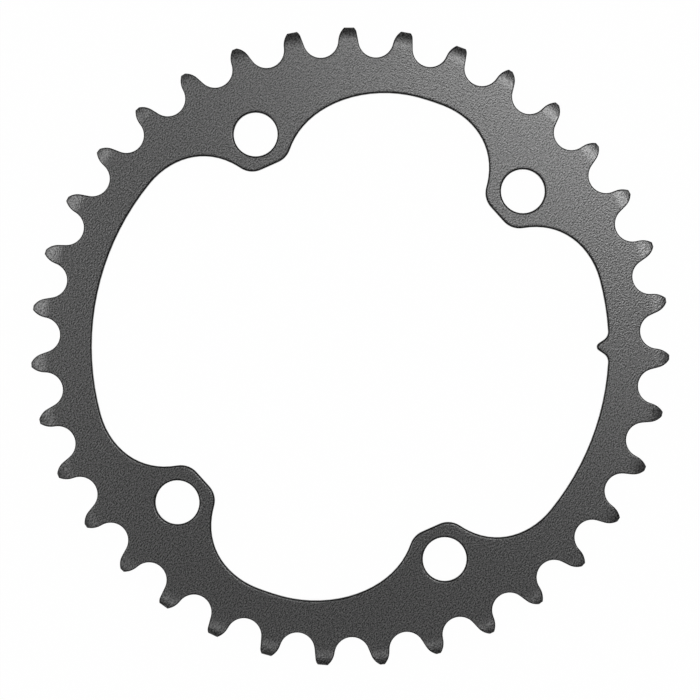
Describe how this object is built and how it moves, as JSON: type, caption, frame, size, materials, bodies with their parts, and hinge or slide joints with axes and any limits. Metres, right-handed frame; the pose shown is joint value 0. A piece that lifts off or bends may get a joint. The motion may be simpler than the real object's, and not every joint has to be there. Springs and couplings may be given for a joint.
{
  "type": "bicycle chainring",
  "caption": "Flat toothed aluminium ring with bolt tabs inside, which a bicycle's crank turns to pull the chain.",
  "frame": {"origin": "centre of the bolt pattern, on the back face", "axes": "+Z along the ring's axis, out of the shown face; +X and +Y along the sides of the bolt rectangle, +Y along its longer side"},
  "size_m": [0.1468, 0.1469, 0.003],
  "materials": {
    "anodised_aluminium": "bead-blasted, dark grey anodised"
  },
  "bodies": {
    "root": {"chainring": "anodised_aluminium"}
  },
  "joints": []
}
